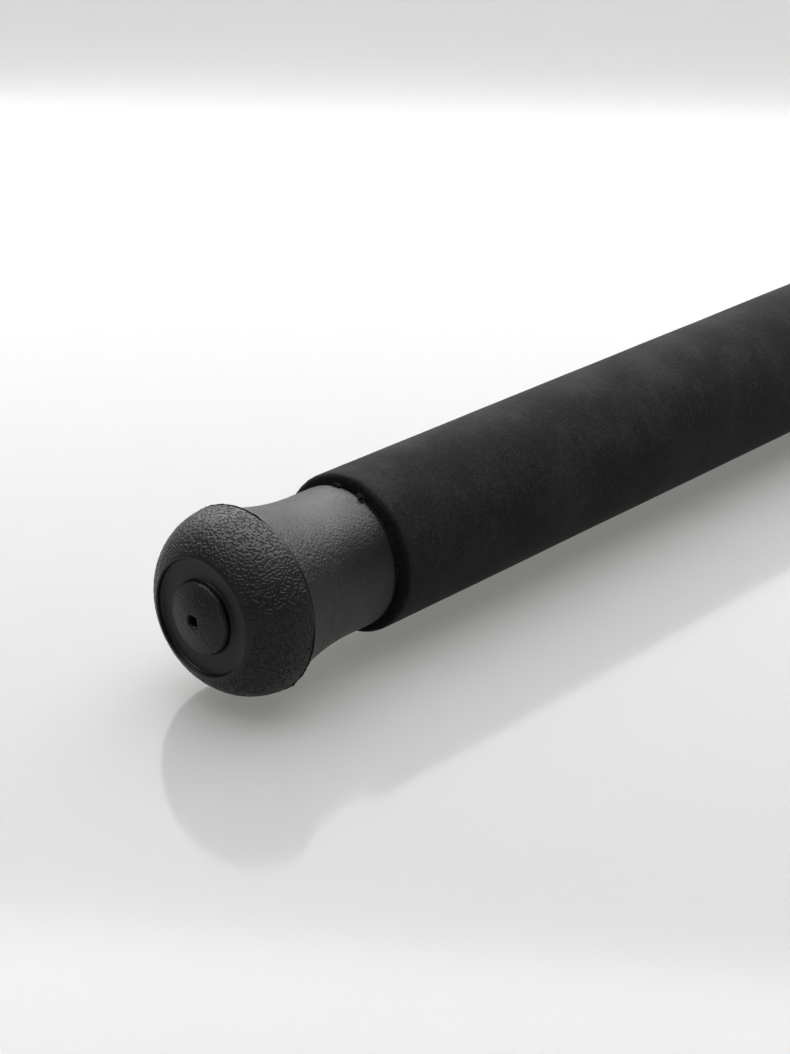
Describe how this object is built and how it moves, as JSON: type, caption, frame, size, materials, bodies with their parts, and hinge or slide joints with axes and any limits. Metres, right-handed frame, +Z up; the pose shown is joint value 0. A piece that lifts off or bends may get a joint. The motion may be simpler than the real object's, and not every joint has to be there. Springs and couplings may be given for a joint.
{
  "type": "devil stick",
  "caption": "Devil stick: a stiff tube in a black foam sleeve, with a flared black rubber knob with a recessed, domed tip on each end.",
  "frame": {"origin": "the stick's balance point, on its axis, midway between the two knobs", "axes": "+X along the stick from end A to end B, +Z up, and Y across it"},
  "size_m": [0.65, 0.034, 0.034],
  "materials": {
    "moulded_rubber": "satin",
    "black_foam": "matte",
    "cloth_tape": "satin",
    "glass_fibre": "satin",
    "bonding_tape": "matte",
    "plug_wood": "matte",
    "zinc_steel": "satin"
  },
  "bodies": {
    "root": {"core_tube": "glass_fibre", "foam_sleeve": "black_foam", "centre_band": "cloth_tape", "bond_tape_a": "bonding_tape", "bond_tape_b": "bonding_tape", "bond_tape_centre": "bonding_tape", "end_knob_a": "moulded_rubber", "end_knob_b": "moulded_rubber", "end_plug_a": "plug_wood", "end_plug_b": "plug_wood", "knob_washer_a": "zinc_steel", "knob_washer_b": "zinc_steel", "knob_screw_a": "zinc_steel", "knob_screw_b": "zinc_steel"}
  },
  "joints": []
}
